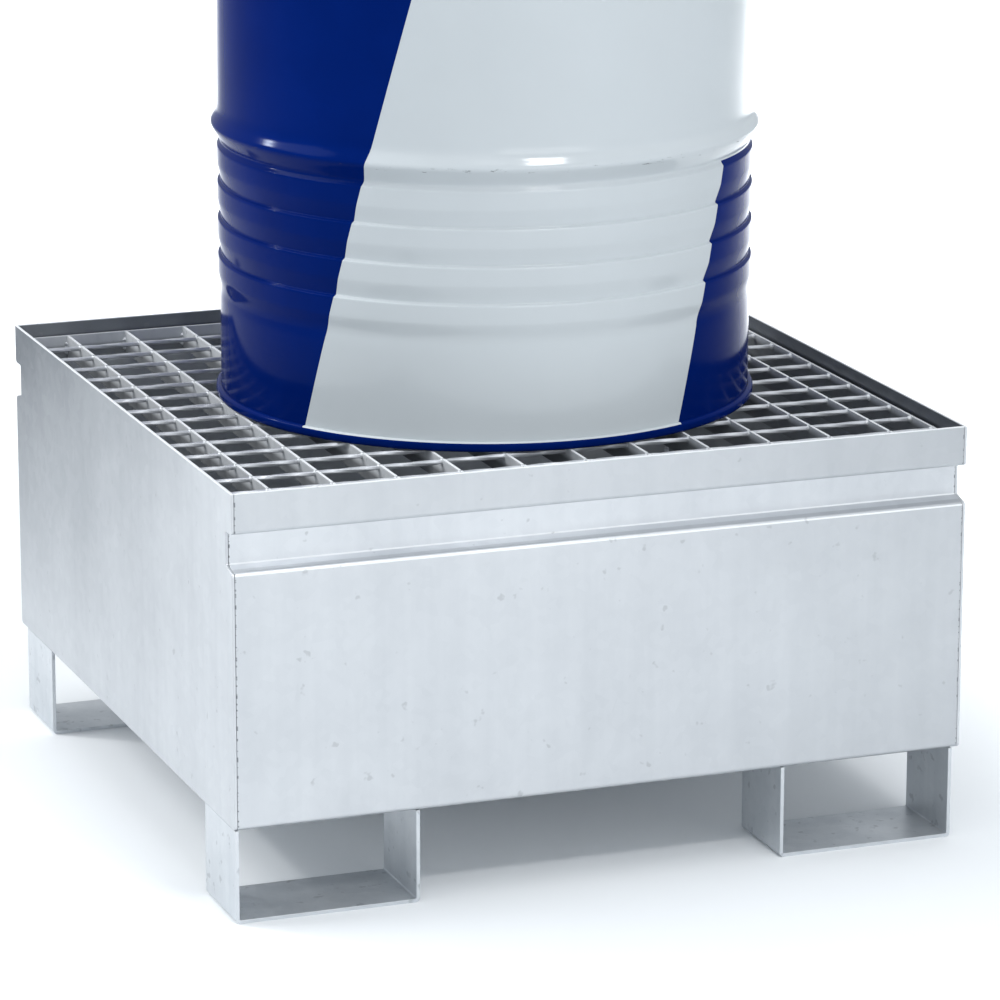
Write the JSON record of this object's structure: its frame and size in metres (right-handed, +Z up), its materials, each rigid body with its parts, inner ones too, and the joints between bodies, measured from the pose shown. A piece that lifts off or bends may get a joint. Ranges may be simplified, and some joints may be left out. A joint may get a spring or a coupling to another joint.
{
  "type": "spill pallet with open-head drum",
  "caption": "Folded galvanised sump pallet with lift-out grating, carrying an open-head steel drum with a lever-lock ring lid and bungs.",
  "frame": {"origin": "on the floor under the middle of the bounding box, which is the middle of the pallet", "axes": "+Z up, +X to the right along the front, +Y towards the back"},
  "size_m": [0.815, 0.815, 1.3209],
  "materials": {
    "galvanised_sheet": "hot-dip galvanised, satin, cloudy spangle",
    "galvanised_grating": "hot-dip galvanised, bright on the top edges",
    "drum_paint": "gloss stoved enamel, deep blue with a pale slanted panel",
    "zinc_plate": "zinc plated, semi-gloss",
    "rubber": "matt black"
  },
  "bodies": {
    "pallet": {"sump_trough": "galvanised_sheet", "left_side_plate": "galvanised_sheet", "right_side_plate": "galvanised_sheet", "foot_front_left": "galvanised_sheet", "foot_front_right": "galvanised_sheet", "foot_back_left": "galvanised_sheet", "foot_back_right": "galvanised_sheet"},
    "grating": {"bearing_bar_01": "galvanised_grating", "bearing_bar_02": "galvanised_grating", "bearing_bar_03": "galvanised_grating", "bearing_bar_04": "galvanised_grating", "bearing_bar_05": "galvanised_grating", "bearing_bar_06": "galvanised_grating", "bearing_bar_07": "galvanised_grating", "bearing_bar_08": "galvanised_grating", "bearing_bar_09": "galvanised_grating", "bearing_bar_10": "galvanised_grating", "bearing_bar_11": "galvanised_grating", "cross_rod_01": "galvanised_grating", "cross_rod_02": "galvanised_grating", "cross_rod_03": "galvanised_grating", "cross_rod_04": "galvanised_grating", "cross_rod_05": "galvanised_grating", "cross_rod_06": "galvanised_grating", "cross_rod_07": "galvanised_grating", "cross_rod_08": "galvanised_grating", "cross_rod_09": "galvanised_grating", "cross_rod_10": "galvanised_grating", "cross_rod_11": "galvanised_grating", "cross_rod_12": "galvanised_grating", "cross_rod_13": "galvanised_grating", "cross_rod_14": "galvanised_grating", "edge_bar_left": "galvanised_grating", "edge_bar_right": "galvanised_grating", "end_bar_front": "galvanised_grating", "end_bar_back": "galvanised_grating"},
    "drum": {"drum_shell": "drum_paint", "bottom_head": "drum_paint"},
    "lid": {"drum_lid": "drum_paint", "lid_gasket": "rubber", "large_bung_flange": "zinc_plate", "small_bung_flange": "zinc_plate"},
    "ring": {"closing_ring": "zinc_plate", "lever_bracket": "zinc_plate", "hook_bracket": "zinc_plate", "lever_pin": "zinc_plate", "hook_pin": "zinc_plate"},
    "lever": {"ring_lever": "zinc_plate", "link_pin": "zinc_plate"},
    "link": {"ring_link": "zinc_plate"},
    "large_bung_seal": {"large_bung_gasket": "rubber"},
    "large_bung": {"large_bung_plug": "zinc_plate"},
    "small_bung_seal": {"small_bung_gasket": "rubber"},
    "small_bung": {"small_bung_plug": "zinc_plate"}
  },
  "joints": [
    {"name": "grating_lift", "type": "slide", "parent": "pallet", "child": "grating", "axis": [0, 0, 1], "range_m": [0, 0.3]},
    {"name": "drum_lift", "type": "slide", "parent": "grating", "child": "drum", "axis": [0, 0, 1], "range_m": [0, 0.5]},
    {"name": "lid_lift", "type": "slide", "parent": "drum", "child": "lid", "axis": [0, 0, 1], "range_m": [0, 0.25]},
    {"name": "ring_lift", "type": "slide", "parent": "lid", "child": "ring", "axis": [0, 0, 1], "range_m": [0, 0.12]},
    {"name": "lever_swing", "type": "hinge", "parent": "ring", "child": "lever", "pos_m": [-0.14942, -0.26743, 1.3088], "axis": [0, 0, -1], "range_deg": [0, 150]},
    {"name": "link_swing", "type": "hinge", "parent": "lever", "child": "link", "pos_m": [-0.12324, -0.28206, 1.3088], "axis": [0, 0, -1], "range_deg": [-150, 0]},
    {"name": "large_bung_rise", "type": "slide", "parent": "lid", "child": "large_bung_seal", "axis": [0, 0, 1], "range_m": [0, 0.01385]},
    {"name": "large_bung_turn", "type": "hinge", "parent": "large_bung_seal", "child": "large_bung", "pos_m": [0.218, -0.0075, 1.3103], "axis": [0, 0, 1], "range_deg": [0, 2162]},
    {"name": "small_bung_rise", "type": "slide", "parent": "lid", "child": "small_bung_seal", "axis": [0, 0, 1], "range_m": [0, 0.01451]},
    {"name": "small_bung_turn", "type": "hinge", "parent": "small_bung_seal", "child": "small_bung", "pos_m": [-0.192, -0.0075, 1.3103], "axis": [0, 0, 1], "range_deg": [0, 2882]}
  ],
  "couplings": [
    {"joint": "link_swing", "follows": "lever_swing", "ratio": -1},
    {"joint": "large_bung_turn", "follows": "large_bung_rise", "rad_per_m": 2721.2},
    {"joint": "small_bung_turn", "follows": "small_bung_rise", "rad_per_m": 3463.7}
  ]
}
